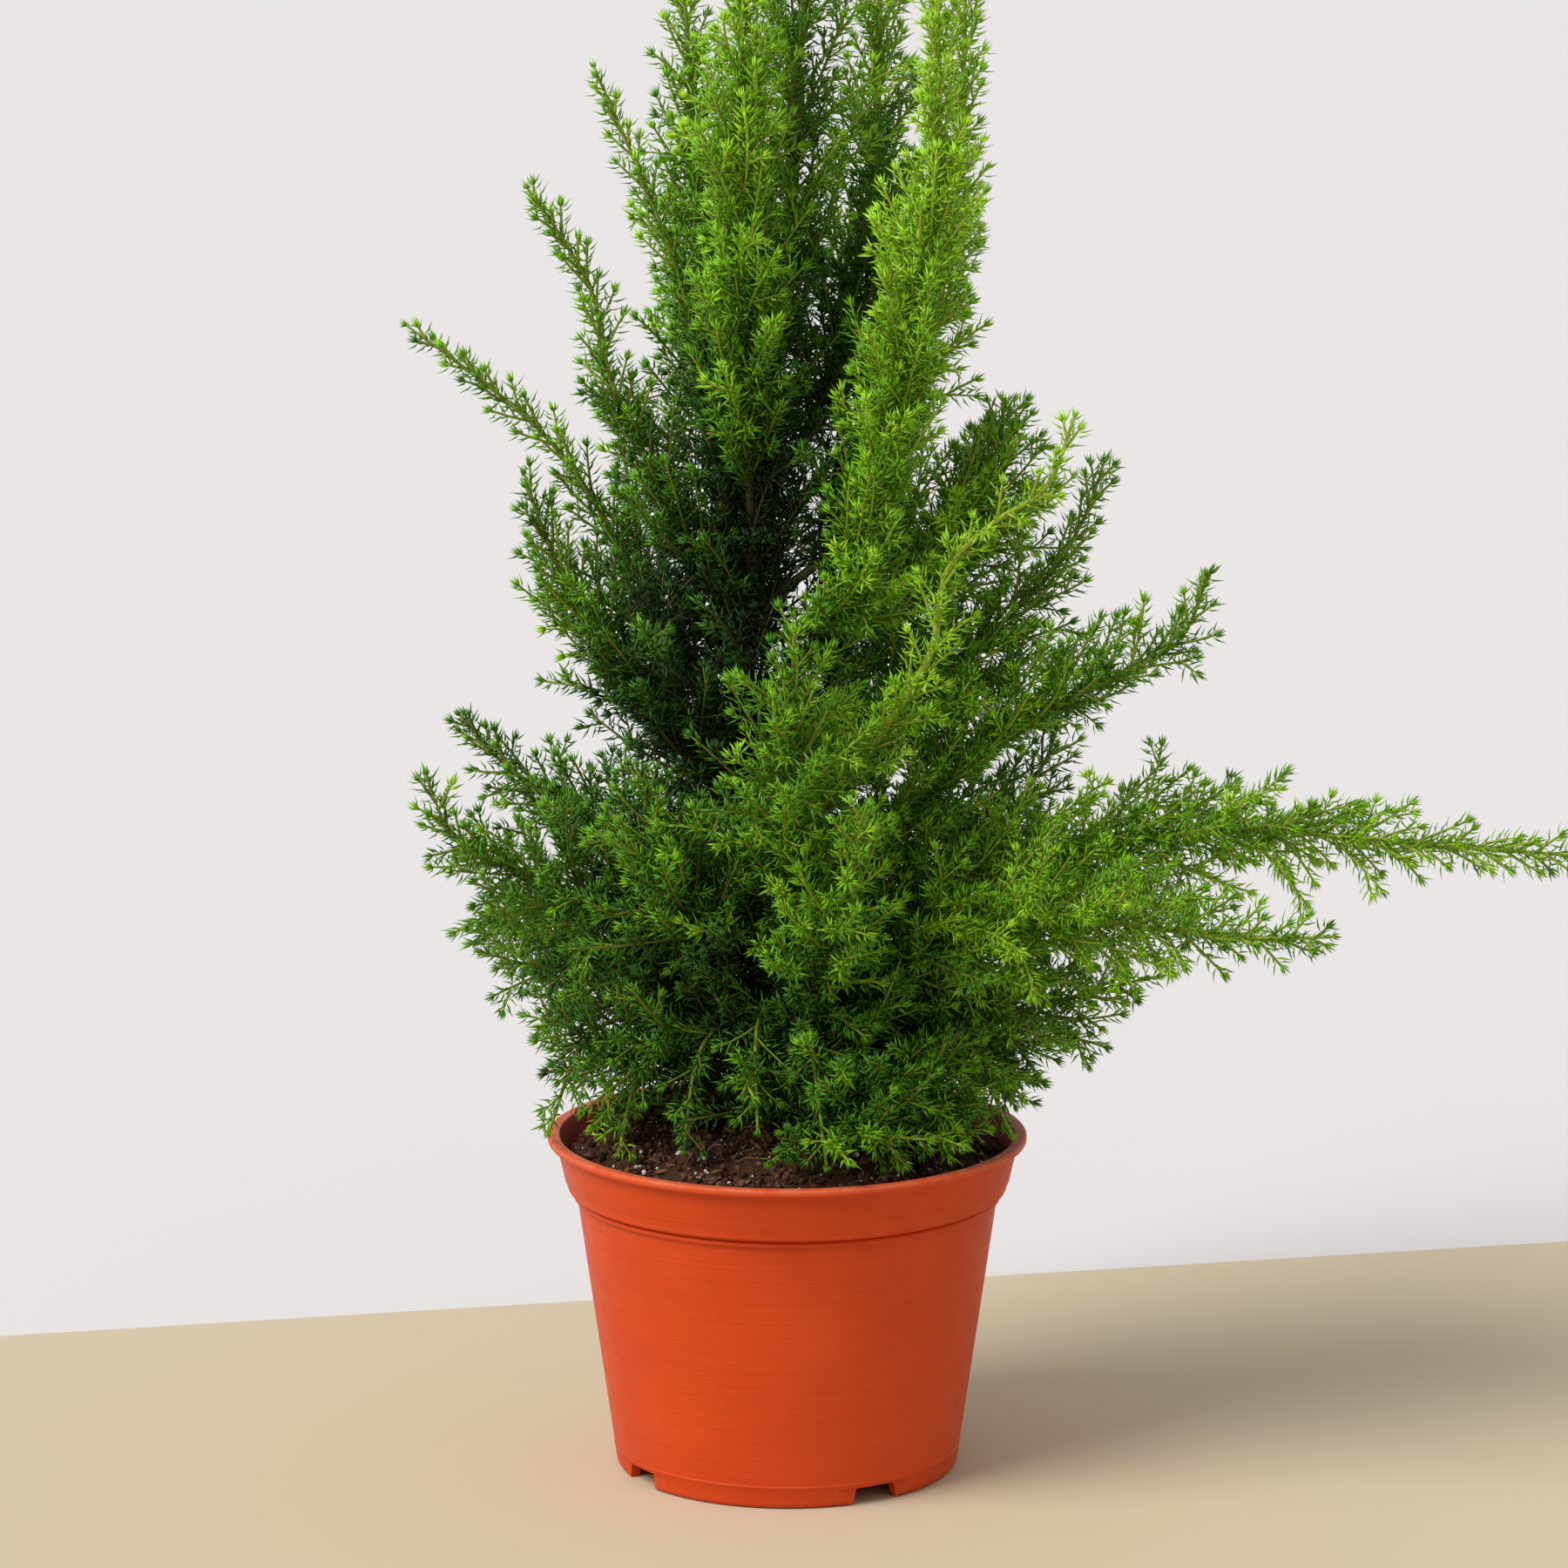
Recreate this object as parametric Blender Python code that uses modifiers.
"""Artificial tabletop conifer: bendable branches on a pull-out trunk, weighted in a plastic nursery pot.

Metres, +Z up. The origin is the centre of the pot's flat underside and -Y is the front.
"""

import math
from collections import namedtuple

import bmesh
import bpy
from mathutils import Vector

# ---------------------------------------------------------------- pot
POT_HEIGHT = 0.1067
RIM_RADIUS = 0.075
WALL = 0.0015
LIP_HEIGHT = 0.0034
LIP_OVERHANG = 0.0038
COLLAR_HEIGHT = 0.0145
COLLAR_FLARE = 0.0029
COLLAR_STEP = 0.0024
BEAD_HEIGHT = 0.0018
BEAD_STEP = 0.0006
BODY_TAPER = 0.141  # radius gained for each metre of height
FOOT_CORNER = 0.003
FOOT_RING = 0.0028
FLOOR_LIFT = 0.0055
PAD_RADIUS = 0.030
PAD_SLOPE = 0.003
NOTCHES = 4
NOTCH_ANGLE = -59.0  # degrees from +X, of the first notch
NOTCH_WIDTH = 0.0135
NOTCH_SPLAY = 0.0015
POCKET_WIDTH = 0.029
POCKET_DEPTH = 0.0013
POCKET_RISE = 0.0004  # the pockets reach this far above the floor's underside
NOTCH_DROP = 0.0003  # the drain notches end this far below it
MOULD_DRAFT = 0.0006  # slope of the foot ring's inner side
POT_STEPS = 64
CUTTER_OVERRUN = 0.002

# ---------------------------------------------------------------- filling
FILL_GAP = 0.0005
BALLAST_HEIGHT = 0.034
SOIL_DEPTH = 0.017
SOIL_DROP = 0.0075  # the soil's edge below the rim
SOIL_MOUND = 0.0125  # the soil's middle above its edge
CLOD_HEIGHT = 0.009
CLOD_RADIUS = 0.016
CLOD_PLACE = (-0.046, 0.012)
SOIL_COLLAR = 0.001  # the clod leaves this much of the soil flat round the trunk's hole
SOIL_RINGS = 6
SOIL_STEPS = 40

# ---------------------------------------------------------------- trunk
FIT_GAP = 0.0004
ROD_RADIUS = 0.0021
ROD_TIP_RADIUS = 0.0012
SOCKET_WALL = 0.0016
SOCKET_STEPS = 16
SOCKET_FLOOR = 0.012  # ballast left under the socket
ROD_END_GAP = 0.004
BARK_RADIUS = 0.0055
BARK_TOP_RADIUS = 0.0034
BARK_START = 0.0015  # all of these are heights above the rim
BARK_END = 0.226
LEADER_START = 0.246
ROD_TIP = 0.345
TREE_TOP = 0.441
LEADER_FULLNESS = 0.0115
TRUNK_POINTS = 8  # along the bark, and again along the leader
BORE_END_GAP = 0.0006  # left between a wire's end and the bottom of its hole
# (sideways, height above the rim) of points that the trunk's middle line passes through
TRUNK_LINE = (
    (0.0, 0.0),
    (0.0, 0.012),
    (-0.007, 0.065),
    (-0.013, 0.125),
    (-0.013, 0.165),
    (-0.006, 0.220),
    (0.001, 0.290),
    (0.006, 0.360),
    (0.007, TREE_TOP),
)

# ---------------------------------------------------------------- branches
STEM_RADIUS = 0.0012
ROOT_GAP = 0.0006
PATH_POINTS = 9
SLEEVE_FIRST = 2  # the path point where foliage begins
STEM_LAST = 4  # the path point where a wire stem ends inside its foliage
TUBE_SIDES_RESOLUTION = 2
CURVE_SAMPLES = 200
TRUNK_SAMPLES = 400

# height is above the rim; outline holds (reach from the trunk's middle line, rise above the root)
Branch = namedtuple("Branch", "name height azimuth fullness outline")

WIRED_BRANCHES = (
    Branch("crown_back_left", 0.182, 120, 0.0095,
           ((0.015, 0.025), (0.031, 0.092), (0.040, 0.160), (0.046, 0.204))),
    Branch("crown_back_right", 0.204, 39, 0.0110,
           ((0.020, 0.018), (0.038, 0.060), (0.046, 0.110), (0.047, 0.195))),
    Branch("crown_front_right", 0.156, -38, 0.0120,
           ((0.038, 0.016), (0.060, 0.084), (0.074, 0.150), (0.070, 0.240))),
    Branch("upper_left_tip", 0.184, 182, 0.0085,
           ((0.014, 0.055), (0.028, 0.101), (0.048, 0.149))),
    Branch("upper_left_arm", 0.128, 175, 0.0105,
           ((0.042, 0.063), (0.058, 0.087), (0.079, 0.106), (0.105, 0.125))),
    Branch("middle_left_back", 0.058, 163, 0.0130,
           ((0.030, 0.022), (0.066, 0.043), (0.084, 0.052), (0.102, 0.070))),
    Branch("middle_left_front", 0.043, -169, 0.0125,
           ((0.035, 0.022), (0.077, 0.041), (0.100, 0.055), (0.108, 0.073))),
    Branch("right_loop", 0.088, -43, 0.0110,
           ((0.041, 0.032), (0.073, 0.074), (0.082, 0.105), (0.114, 0.123), (0.128, 0.149))),
    Branch("right_cluster", 0.073, -8, 0.0140,
           ((0.034, 0.021), (0.074, 0.055), (0.128, 0.085), (0.137, 0.107))),
    Branch("right_long", 0.048, -4, 0.0130,
           ((0.031, 0.023), (0.084, 0.039), (0.138, 0.050), (0.192, 0.047), (0.258, 0.043))),
    Branch("right_long_lower", 0.036, -25, 0.0115,
           ((0.034, 0.024), (0.086, 0.040), (0.150, 0.040), (0.184, 0.043))),
    Branch("right_low", 0.021, -11, 0.0100,
           ((0.030, 0.009), (0.062, 0.017), (0.114, 0.033))),
    Branch("front_centre", 0.058, -82, 0.0135,
           ((0.030, 0.018), (0.046, 0.040), (0.058, 0.077), (0.056, 0.115))),
    Branch("front_out", 0.033, -74, 0.0120,
           ((0.030, 0.018), (0.062, 0.045), (0.093, 0.087))),
    Branch("back_centre", 0.043, 92, 0.0150,
           ((0.035, 0.024), (0.066, 0.056), (0.084, 0.100))),
    Branch("back_right", 0.083, 58, 0.0150,
           ((0.030, 0.026), (0.056, 0.066), (0.070, 0.118))),
    Branch("back_left", 0.093, 128, 0.0150,
           ((0.030, 0.026), (0.054, 0.066), (0.068, 0.118))),
)

SPRIGS = (
    Branch("crown_front", 0.190, -97, 0.0095,
           ((0.014, 0.022), (0.027, 0.075), (0.031, 0.150), (0.028, 0.212))),
    Branch("crown_right", 0.168, 0, 0.0110,
           ((0.028, 0.019), (0.058, 0.105), (0.066, 0.158), (0.066, 0.205))),
    Branch("crown_back", 0.132, 88, 0.0110,
           ((0.018, 0.030), (0.040, 0.085), (0.047, 0.150), (0.050, 0.200))),
    Branch("upper_left_front", 0.155, -152, 0.0095,
           ((0.014, 0.022), (0.044, 0.081), (0.052, 0.113), (0.073, 0.144))),
    Branch("left_shoulder", 0.103, -154, 0.0120,
           ((0.024, 0.025), (0.052, 0.062), (0.066, 0.083), (0.076, 0.110))),
    Branch("left_low_back", 0.029, 160, 0.0105,
           ((0.034, 0.014), (0.084, 0.027), (0.101, 0.033))),
    Branch("left_low_front", 0.020, -157, 0.0090,
           ((0.030, 0.010), (0.058, 0.012), (0.082, 0.026))),
    Branch("right_shoulder", 0.143, 16, 0.0110,
           ((0.024, 0.010), (0.073, 0.048), (0.085, 0.084))),
    Branch("right_upper", 0.108, 4, 0.0105,
           ((0.038, 0.018), (0.089, 0.063), (0.103, 0.084), (0.110, 0.103))),
    Branch("right_inner", 0.060, 18, 0.0095,
           ((0.030, 0.008), (0.062, 0.021), (0.088, 0.046), (0.097, 0.065))),
    Branch("right_skirt", 0.018, 14, 0.0080,
           ((0.030, 0.006), (0.058, 0.008), (0.092, 0.012))),
    Branch("front_left", 0.047, -128, 0.0125,
           ((0.030, 0.020), (0.048, 0.038), (0.066, 0.080))),
    Branch("skirt_front_right", 0.017, -62, 0.0055,
           ((0.025, 0.002), (0.050, -0.003), (0.071, -0.008))),
    Branch("skirt_right", 0.019, -37, 0.0055,
           ((0.028, 0.004), (0.052, 0.002), (0.072, -0.003))),
    Branch("skirt_front", 0.020, -102, 0.0070,
           ((0.024, 0.009), (0.044, 0.010), (0.062, 0.006))),
    Branch("skirt_back_left", 0.024, 118, 0.0085,
           ((0.034, 0.008), (0.060, 0.012), (0.086, 0.024))),
    Branch("skirt_back_right", 0.026, 50, 0.0085,
           ((0.034, 0.008), (0.060, 0.012), (0.092, 0.026))),
)

# foliage is thin at both ends: (share of its length, share of its fullness)
SLEEVE_SHAPE = ((0.0, 0.45), (0.25, 0.90), (0.55, 1.0), (0.80, 0.72), (1.0, 0.25))

# ---------------------------------------------------------------- sizes that follow from those above
COLLAR_TOP = POT_HEIGHT - LIP_HEIGHT
COLLAR_BOTTOM = COLLAR_TOP - COLLAR_HEIGHT
BODY_TOP = COLLAR_BOTTOM - BEAD_HEIGHT
LIP_ROOT_RADIUS = RIM_RADIUS - LIP_OVERHANG
COLLAR_RADIUS = LIP_ROOT_RADIUS - COLLAR_FLARE
BODY_TOP_RADIUS = COLLAR_RADIUS - COLLAR_STEP
FOOT_RADIUS = BODY_TOP_RADIUS - BODY_TAPER * (BODY_TOP - FOOT_CORNER) - 0.7 * FOOT_CORNER
FLOOR_TOP = FLOOR_LIFT + WALL
BALLAST_BOTTOM = FLOOR_TOP + FILL_GAP
BALLAST_TOP = BALLAST_BOTTOM + BALLAST_HEIGHT
SOIL_EDGE = POT_HEIGHT - SOIL_DROP
SOIL_BOTTOM = SOIL_EDGE - SOIL_DEPTH
BARK_BOTTOM = POT_HEIGHT + BARK_START
SOCKET_RADIUS = ROD_RADIUS + FIT_GAP + SOCKET_WALL
SOCKET_BOTTOM = BALLAST_BOTTOM + SOCKET_FLOOR
SOCKET_TOP = BARK_BOTTOM - FIT_GAP
ROD_BOTTOM = SOCKET_BOTTOM + ROD_END_GAP

# ---------------------------------------------------------------- colours
TERRACOTTA = (0.72, 0.09, 0.022)
CEMENT = (0.42, 0.41, 0.39)
FOAM = (0.16, 0.30, 0.17)
SOIL = (0.055, 0.026, 0.013)
BLACK_PLASTIC = (0.02, 0.02, 0.022)
STEEL = (0.45, 0.44, 0.42)
BARK = (0.10, 0.055, 0.03)
STEM_GREEN = (0.30, 0.42, 0.08)
NEEDLE_GREEN = (0.06, 0.24, 0.025)


def clear_scene():
    for leftover in list(bpy.data.objects):
        bpy.data.objects.remove(leftover, do_unlink=True)


def new_collection(name):
    collection = bpy.data.collections.new(name)
    bpy.context.scene.collection.children.link(collection)
    return collection


def new_material(name, colour, roughness, metallic=0.0):
    material = bpy.data.materials.new(name)
    material.use_nodes = True
    shader = material.node_tree.nodes["Principled BSDF"]
    shader.inputs["Base Color"].default_value = (*colour, 1.0)
    shader.inputs["Roughness"].default_value = roughness
    shader.inputs["Metallic"].default_value = metallic
    return material


def mix(low, high, share):
    return low + (high - low) * share


# ---------------------------------------------------------------- turned shapes


def pot_radius(height):
    """Outer radius of the pot's plain tapered body."""
    return BODY_TOP_RADIUS - BODY_TAPER * (BODY_TOP - height)


def inside_radius(height):
    """Radius of the pot's inner wall: the tapered body, the step under the collar, then the flared collar."""
    if height <= BODY_TOP - WALL:
        return pot_radius(height) - WALL
    if height <= COLLAR_BOTTOM + WALL:
        step = (height - BODY_TOP + WALL) / (COLLAR_BOTTOM - BODY_TOP + 2 * WALL)
        return mix(pot_radius(BODY_TOP - WALL), COLLAR_RADIUS, step) - WALL
    return mix(COLLAR_RADIUS, LIP_ROOT_RADIUS, (height - COLLAR_BOTTOM) / COLLAR_HEIGHT) - WALL


def turned(name, profile, steps, collection):
    """A profile in the XZ plane, top to bottom down its outer side, turned once round Z."""
    mesh = bpy.data.meshes.new(name)
    edges = [(i, (i + 1) % len(profile)) for i in range(len(profile))]
    if profile[0][0] == 0.0 and profile[-1][0] == 0.0:
        edges.pop()
    mesh.from_pydata([(radius, 0.0, height) for radius, height in profile], edges, [])
    turned_object = bpy.data.objects.new(name, mesh)
    collection.objects.link(turned_object)
    screw = turned_object.modifiers.new("Turn", "SCREW")
    screw.steps = steps
    screw.render_steps = steps
    screw.use_merge_vertices = True
    screw.merge_threshold = 0.00001
    screw.use_smooth_shade = False
    return turned_object


def applied(source, name, collection):
    """The evaluated, welded mesh of an object, as a new object in its place."""
    bpy.context.view_layer.update()
    graph = bpy.context.evaluated_depsgraph_get()
    mesh = bpy.data.meshes.new_from_object(source.evaluated_get(graph))
    mesh.name = name
    welded = bmesh.new()
    welded.from_mesh(mesh)
    bmesh.ops.remove_doubles(welded, verts=welded.verts, dist=0.00001)
    bmesh.ops.recalc_face_normals(welded, faces=welded.faces)
    welded.to_mesh(mesh)
    welded.free()
    made = bpy.data.objects.new(name, mesh)
    made.matrix_world = source.matrix_world.copy()
    collection.objects.link(made)
    bpy.data.objects.remove(source, do_unlink=True)
    return made


def make_cutter(cutter):
    cutter.hide_render = True
    cutter.display_type = "WIRE"
    return cutter


def cut(target, cutter):
    boolean = target.modifiers.new("Cut " + cutter.name, "BOOLEAN")
    boolean.operation = "DIFFERENCE"
    boolean.object = make_cutter(cutter)


def wedge(name, inner, outer, half_widths, low, high, angle, collection):
    """A radial box cutter, wider at its bottom: half_widths are its lower and upper half widths."""
    shape = bmesh.new()
    bmesh.ops.create_cube(shape, size=1.0)
    for vertex in shape.verts:
        upper = vertex.co.z > 0.0
        half_width = half_widths[1] if upper else half_widths[0]
        vertex.co.x = outer if vertex.co.x > 0.0 else inner
        vertex.co.y = math.copysign(half_width, vertex.co.y)
        vertex.co.z = high if upper else low
    mesh = bpy.data.meshes.new(name)
    shape.to_mesh(mesh)
    shape.free()
    made = bpy.data.objects.new(name, mesh)
    made.rotation_euler.z = math.radians(angle)
    collection.objects.link(made)
    return made


def pot_profile():
    """From the middle of the floor's top, out and up the inner wall, over the lip and down the outside."""
    collar_inner_top = inside_radius(COLLAR_TOP)
    inside = [
        (0.0, WALL),
        (PAD_RADIUS - 0.4 * PAD_SLOPE, WALL),
        (PAD_RADIUS + 0.8 * PAD_SLOPE, FLOOR_TOP),
        (inside_radius(FLOOR_TOP), FLOOR_TOP),
        (inside_radius(BODY_TOP - WALL), BODY_TOP - WALL),
        (inside_radius(COLLAR_BOTTOM + WALL), COLLAR_BOTTOM + WALL),
        (collar_inner_top, COLLAR_TOP),
        (collar_inner_top + 0.6 * WALL, POT_HEIGHT - 0.25 * LIP_HEIGHT),
        (collar_inner_top + 1.2 * WALL, POT_HEIGHT),
    ]
    outside = [
        (RIM_RADIUS - 0.3 * LIP_HEIGHT, POT_HEIGHT),
        (RIM_RADIUS, POT_HEIGHT - 0.3 * LIP_HEIGHT),
        (RIM_RADIUS, POT_HEIGHT - 0.65 * LIP_HEIGHT),
        (RIM_RADIUS - 0.3 * LIP_HEIGHT, COLLAR_TOP),
        (LIP_ROOT_RADIUS, COLLAR_TOP - 0.1 * LIP_HEIGHT),
        (mix(COLLAR_RADIUS, LIP_ROOT_RADIUS, 0.15), mix(COLLAR_BOTTOM, COLLAR_TOP, 0.15)),
        (COLLAR_RADIUS - 0.35 * COLLAR_STEP, COLLAR_BOTTOM + 0.02 * COLLAR_HEIGHT),
        (BODY_TOP_RADIUS + BEAD_STEP, COLLAR_BOTTOM),
        (BODY_TOP_RADIUS + BEAD_STEP, BODY_TOP + 0.3 * BEAD_HEIGHT),
        (BODY_TOP_RADIUS, BODY_TOP),
        (pot_radius(FOOT_CORNER), FOOT_CORNER),
        (pot_radius(FOOT_CORNER) - 0.2 * FOOT_CORNER, 0.25 * FOOT_CORNER),
        (FOOT_RADIUS, 0.0),
        (FOOT_RADIUS - FOOT_RING, 0.0),
        (FOOT_RADIUS - FOOT_RING - MOULD_DRAFT, FLOOR_LIFT),
        (PAD_RADIUS + PAD_SLOPE, FLOOR_LIFT),
        (PAD_RADIUS, 0.0),
        (0.0, 0.0),
    ]
    return inside + outside


def make_pot(parts, cutters):
    pot = turned("pot", pot_profile(), POT_STEPS, parts)
    for index in range(NOTCHES):
        angle = NOTCH_ANGLE + 360.0 * index / NOTCHES
        pocket = wedge(f"pocket_cutter_{index}", FOOT_RADIUS - POCKET_DEPTH, RIM_RADIUS,
                       (POCKET_WIDTH / 2, POCKET_WIDTH / 2), -CUTTER_OVERRUN, FLOOR_LIFT + POCKET_RISE,
                       angle, cutters)
        cut(pot, pocket)
        notch = wedge(f"notch_cutter_{index}", FOOT_RADIUS - FOOT_RING - CUTTER_OVERRUN, RIM_RADIUS,
                      (NOTCH_WIDTH / 2 + NOTCH_SPLAY, NOTCH_WIDTH / 2), -CUTTER_OVERRUN,
                      FLOOR_LIFT - NOTCH_DROP, angle, cutters)
        cut(pot, notch)
    return pot


def make_ballast(parts):
    """The cast weight in the pot's bottom, with a blind hole for the socket."""
    hole = SOCKET_RADIUS + FIT_GAP
    profile = [
        (0.0, SOCKET_BOTTOM - FIT_GAP),
        (hole, SOCKET_BOTTOM - FIT_GAP),
        (hole, BALLAST_TOP),
        (inside_radius(BALLAST_TOP) - FILL_GAP, BALLAST_TOP),
        (inside_radius(BALLAST_BOTTOM) - FILL_GAP, BALLAST_BOTTOM),
        (0.0, BALLAST_BOTTOM),
    ]
    return turned("ballast_disc", profile, SOIL_STEPS, parts)


def make_foam(parts):
    hole = SOCKET_RADIUS + FIT_GAP
    bottom = BALLAST_TOP + FILL_GAP
    top = SOIL_BOTTOM - FILL_GAP
    profile = [
        (hole, top),
        (inside_radius(top) - FILL_GAP, top),
        (inside_radius(bottom) - FILL_GAP, bottom),
        (hole, bottom),
    ]
    return turned("foam_block", profile, SOIL_STEPS, parts)


def soil_height(radius):
    """Height of the plain mound at a radius, flat at the middle and steepest at the edge."""
    share = radius / inside_radius(SOIL_EDGE)
    return SOIL_EDGE + SOIL_MOUND * (1.0 - share * share)


def make_soil(parts):
    """The glued top dressing: a mound inside the collar, with one clod standing at the left and back."""
    hole = BARK_RADIUS + 2 * FIT_GAP
    edge = inside_radius(SOIL_EDGE) - FILL_GAP
    rings = [mix(hole, edge, i / (SOIL_RINGS - 1)) for i in range(SOIL_RINGS)]
    top = [(radius, soil_height(radius)) for radius in rings[:-1]] + [(edge, SOIL_EDGE)]
    wall_heights = [COLLAR_BOTTOM + WALL, BODY_TOP - WALL, SOIL_BOTTOM]
    wall = [(inside_radius(height) - FILL_GAP, height) for height in wall_heights]
    plain = turned("soil_profile", top + wall + [(hole, SOIL_BOTTOM)], SOIL_STEPS, parts)
    soil = applied(plain, "soil_dressing", parts)
    for vertex in soil.data.vertices:
        reach = math.hypot(vertex.co.x, vertex.co.y)
        if vertex.co.z > SOIL_EDGE and hole + SOIL_COLLAR < reach < edge - SOIL_COLLAR:
            away = math.hypot(vertex.co.x - CLOD_PLACE[0], vertex.co.y - CLOD_PLACE[1])
            vertex.co.z += CLOD_HEIGHT * math.exp(-((away / CLOD_RADIUS) ** 2))
    return soil


def make_socket(parts):
    bore = ROD_RADIUS + FIT_GAP
    profile = [
        (bore, SOCKET_TOP),
        (SOCKET_RADIUS, SOCKET_TOP),
        (SOCKET_RADIUS, SOCKET_BOTTOM),
        (bore, SOCKET_BOTTOM),
    ]
    return turned("trunk_socket", profile, SOCKET_STEPS, parts)


# ---------------------------------------------------------------- bent rods and branches


def smooth_point(points, position):
    """A point on the Catmull-Rom curve through points, at a position counted in spans."""
    span = min(int(position), len(points) - 2)
    t = position - span
    before = points[span - 1] if span else 2 * points[0] - points[1]
    after = points[span + 2] if span + 2 < len(points) else 2 * points[-1] - points[-2]
    here, there = points[span], points[span + 1]
    linear = there - before
    square = 2 * before - 5 * here + 4 * there - after
    cube = 3 * here - before - 3 * there + after
    return 0.5 * (2 * here + t * linear + t * t * square + t * t * t * cube)


def even_points(points, count):
    """count points spaced evenly along the smooth curve through points."""
    spans = len(points) - 1
    fine = [smooth_point(points, i * spans / CURVE_SAMPLES) for i in range(CURVE_SAMPLES + 1)]
    lengths = [0.0]
    for near, far in zip(fine, fine[1:]):
        lengths.append(lengths[-1] + (far - near).length)
    found = []
    for i in range(count):
        wanted = lengths[-1] * i / (count - 1)
        k = min(max(j for j, length in enumerate(lengths) if length <= wanted), CURVE_SAMPLES - 1)
        share = (wanted - lengths[k]) / (lengths[k + 1] - lengths[k])
        found.append(fine[k].lerp(fine[k + 1], share))
    return found


def trunk_point(height):
    """The point on the trunk's middle line at a height above the rim."""
    line = [Vector((x, 0.0, z)) for x, z in TRUNK_LINE]
    spans = len(line) - 1
    fine = [smooth_point(line, i * spans / TRUNK_SAMPLES) for i in range(TRUNK_SAMPLES + 1)]
    k = min(range(TRUNK_SAMPLES), key=lambda i: abs(fine[i].z - height))
    return Vector((fine[k].x, 0.0, height + POT_HEIGHT))


def bark_radius(height):
    return mix(BARK_RADIUS, BARK_TOP_RADIUS, (height - BARK_START) / (BARK_END - BARK_START))


def tube(name, points, radii, collection, origin):
    """A round rod through points with a radius at each, whose object stands at origin."""
    curve = bpy.data.curves.new(name, "CURVE")
    curve.dimensions = "3D"
    curve.bevel_depth = 1.0
    curve.bevel_resolution = TUBE_SIDES_RESOLUTION
    curve.use_fill_caps = True
    spline = curve.splines.new("POLY")
    spline.points.add(len(points) - 1)
    for spline_point, point, radius in zip(spline.points, points, radii):
        spline_point.co = (*(point - origin), 1.0)
        spline_point.radius = radius
    made = bpy.data.objects.new(name, curve)
    made.location = origin
    collection.objects.link(made)
    return made


def branch_path(branch):
    """The branch's middle line, from just outside the bark to its tip."""
    middle = trunk_point(branch.height)
    angle = math.radians(branch.azimuth)
    outward = Vector((math.cos(angle), math.sin(angle), 0.0))
    start = bark_radius(branch.height) + ROOT_GAP + STEM_RADIUS
    knots = [middle + outward * start]
    knots += [middle + outward * reach + Vector((0.0, 0.0, rise)) for reach, rise in branch.outline]
    return even_points(knots, PATH_POINTS)


def sleeve_radii(count, fullness):
    """The foliage's radius at each of count even points along it."""
    radii = []
    for i in range(count):
        share = i / (count - 1)
        k = max(j for j in range(len(SLEEVE_SHAPE) - 1) if SLEEVE_SHAPE[j][0] <= share)
        (low, thin), (high, thick) = SLEEVE_SHAPE[k], SLEEVE_SHAPE[k + 1]
        radii.append(fullness * mix(thin, thick, (share - low) / (high - low)))
    return radii


def bored(sleeve, bore_points, bore_radii, parts, cutters):
    """The sleeve as a mesh, with a hole of its own along the bore points."""
    origin = sleeve.location.copy()
    name = sleeve.name
    sleeve.name = name + "_curve"
    cutter = tube(name + "_bore_curve", bore_points, bore_radii, cutters, origin)
    cutter = applied(cutter, name + "_bore", cutters)
    sleeve = applied(sleeve, name, parts)
    cut(sleeve, cutter)
    return sleeve


def longer(points, before, after):
    """The same points with the first and last moved outwards along the end spans."""
    first = points[0] + (points[0] - points[1]).normalized() * before
    last = points[-1] + (points[-1] - points[-2]).normalized() * after
    return [first] + points[1:-1] + [last]


def hang_on(child, parent):
    child.parent = parent
    child.location = child.location - parent.matrix_world.translation


def new_empty(name, place, collection, parent=None):
    empty = bpy.data.objects.new(name, None)
    empty.empty_display_size = 0.01
    empty.location = place if parent is None else place - parent.matrix_world.translation
    empty.parent = parent
    collection.objects.link(empty)
    bpy.context.view_layer.update()
    return empty


def make_wired_branch(branch, tree, parts, cutters):
    """A coated wire stem that ends inside a sleeve of foliage, both on an empty at the stem's root."""
    path = branch_path(branch)
    root = path[0]
    hinge = new_empty(branch.name + "_root", root, parts, tree)
    stem_points = path[:STEM_LAST + 1]
    stem = tube(branch.name + "_stem", stem_points, [STEM_RADIUS] * len(stem_points), parts, root)
    sleeve_points = path[SLEEVE_FIRST:]
    radii = sleeve_radii(len(sleeve_points), branch.fullness)
    sleeve = tube(branch.name + "_foliage", sleeve_points, radii, parts, root)
    bore_points = longer(path[SLEEVE_FIRST:STEM_LAST + 1], CUTTER_OVERRUN, BORE_END_GAP)
    sleeve = bored(sleeve, bore_points, [STEM_RADIUS + FIT_GAP] * len(bore_points), parts, cutters)
    hang_on(stem, hinge)
    hang_on(sleeve, hinge)
    return stem, sleeve


def make_sprig(branch, tree, parts):
    """A short branch moulded in one piece: a bare foot and its foliage."""
    path = branch_path(branch)
    feet = [STEM_RADIUS] * SLEEVE_FIRST
    radii = feet + sleeve_radii(PATH_POINTS - SLEEVE_FIRST, branch.fullness)
    sprig = tube(branch.name + "_sprig", path, radii, parts, path[0])
    hang_on(sprig, tree)
    return sprig


def trunk_points(low, high):
    return [trunk_point(mix(low, high, i / (TRUNK_POINTS - 1))) for i in range(TRUNK_POINTS)]


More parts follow.
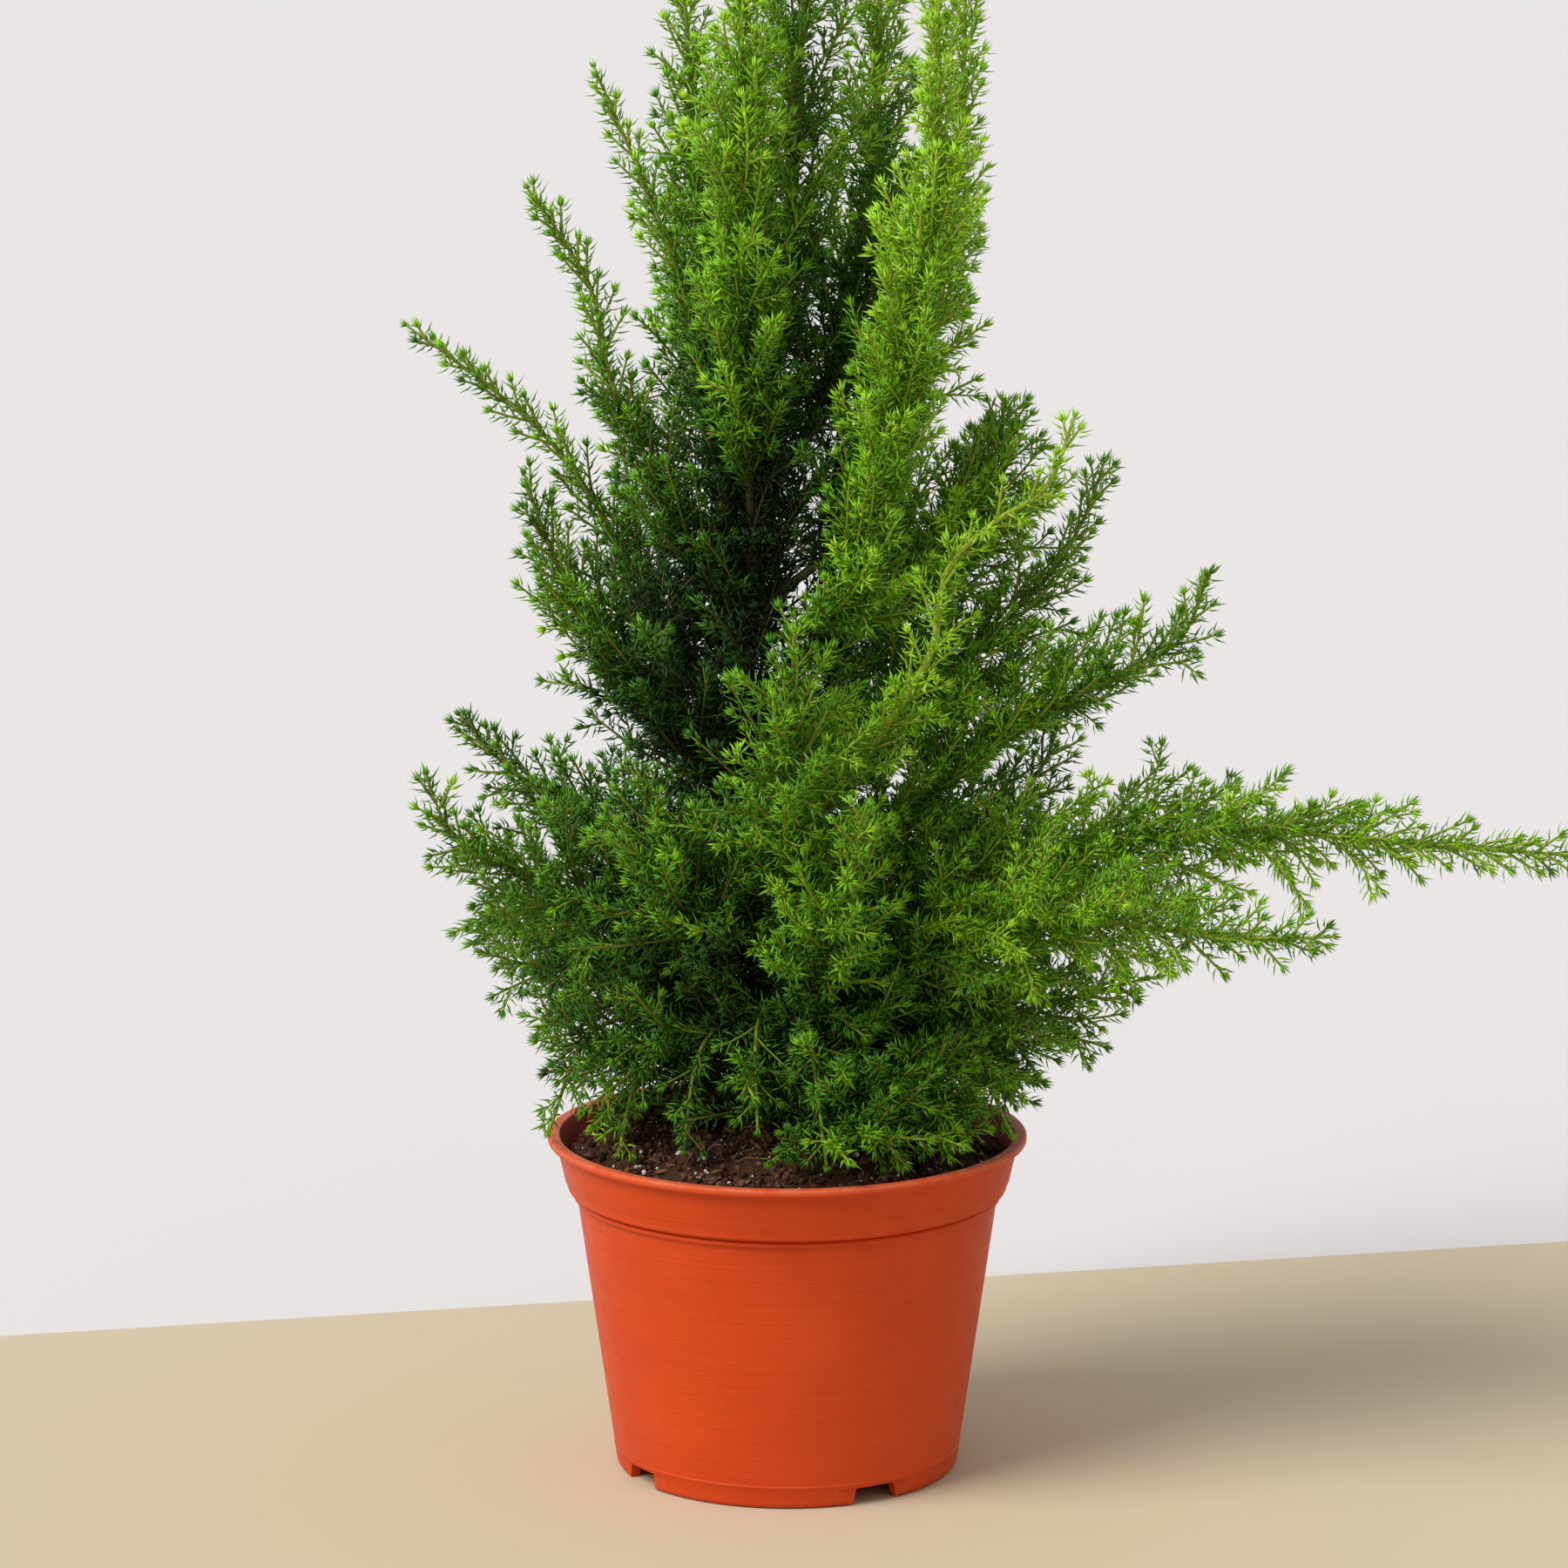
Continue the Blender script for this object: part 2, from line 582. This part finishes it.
def make_trunk(tree, parts, cutters):
    """The wire rod that stands in the socket, the bark round it, and the foliage of its tip."""
    origin = tree.matrix_world.translation.copy()
    bark_line = trunk_points(BARK_START, BARK_END)
    leader_line = trunk_points(LEADER_START, TREE_TOP)
    rod_in_leader = [point for point in leader_line if point.z < POT_HEIGHT + ROD_TIP]
    rod_line = [Vector((0.0, 0.0, ROD_BOTTOM))] + bark_line + rod_in_leader
    rod_radii = [ROD_RADIUS] * (1 + len(bark_line)) + [ROD_TIP_RADIUS] * len(rod_in_leader)
    rod = tube("trunk_rod", rod_line, rod_radii, parts, origin)
    bark_radii = [mix(BARK_RADIUS, BARK_TOP_RADIUS, i / (TRUNK_POINTS - 1)) for i in range(TRUNK_POINTS)]
    bark = tube("trunk_bark", bark_line, bark_radii, parts, origin)
    bore_line = longer(bark_line, CUTTER_OVERRUN, CUTTER_OVERRUN)
    bark = bored(bark, bore_line, [ROD_RADIUS + FIT_GAP] * len(bore_line), parts, cutters)
    radii = sleeve_radii(len(leader_line), LEADER_FULLNESS)
    leader = tube("leader_foliage", leader_line, radii, parts, origin)
    bore_line = longer(rod_in_leader, CUTTER_OVERRUN, BORE_END_GAP)
    leader = bored(leader, bore_line, [ROD_TIP_RADIUS + 2 * FIT_GAP] * len(bore_line), parts, cutters)
    for piece in (rod, bark, leader):
        hang_on(piece, tree)
    return rod, bark, leader


def paint(piece, material):
    piece.data.materials.clear()
    piece.data.materials.append(material)


def shade(piece):
    if piece.type == "MESH":
        piece.data.shade_smooth()
        piece.data.set_sharp_from_angle(angle=math.radians(35))


def main():
    clear_scene()
    parts = new_collection("tabletop_tree")
    cutters = new_collection("tabletop_tree_cutters")
    cutters.hide_render = True
    plastic = new_material("terracotta_plastic", TERRACOTTA, 0.42)
    cement = new_material("cement", CEMENT, 0.9)
    foam = new_material("foam", FOAM, 0.95)
    soil = new_material("soil_mix", SOIL, 0.95)
    black = new_material("black_plastic", BLACK_PLASTIC, 0.5)
    steel = new_material("steel_wire", STEEL, 0.35, 1.0)
    bark = new_material("moulded_bark", BARK, 0.85)
    coating = new_material("stem_coating", STEM_GREEN, 0.55)
    needles = new_material("needles", NEEDLE_GREEN, 0.6)

    base = (
        (make_pot(parts, cutters), plastic),
        (make_ballast(parts), cement),
        (make_foam(parts), foam),
        (make_soil(parts), soil),
        (make_socket(parts), black),
    )
    tree = new_empty("tree", Vector((0.0, 0.0, BARK_BOTTOM)), parts)
    rod, trunk_bark, leader = make_trunk(tree, parts, cutters)
    painted = list(base) + [(rod, steel), (trunk_bark, bark), (leader, needles)]
    for branch in WIRED_BRANCHES:
        stem, sleeve = make_wired_branch(branch, tree, parts, cutters)
        painted += [(stem, coating), (sleeve, needles)]
    for branch in SPRIGS:
        painted.append((make_sprig(branch, tree, parts), needles))
    for piece, material in painted:
        paint(piece, material)
        shade(piece)


main()
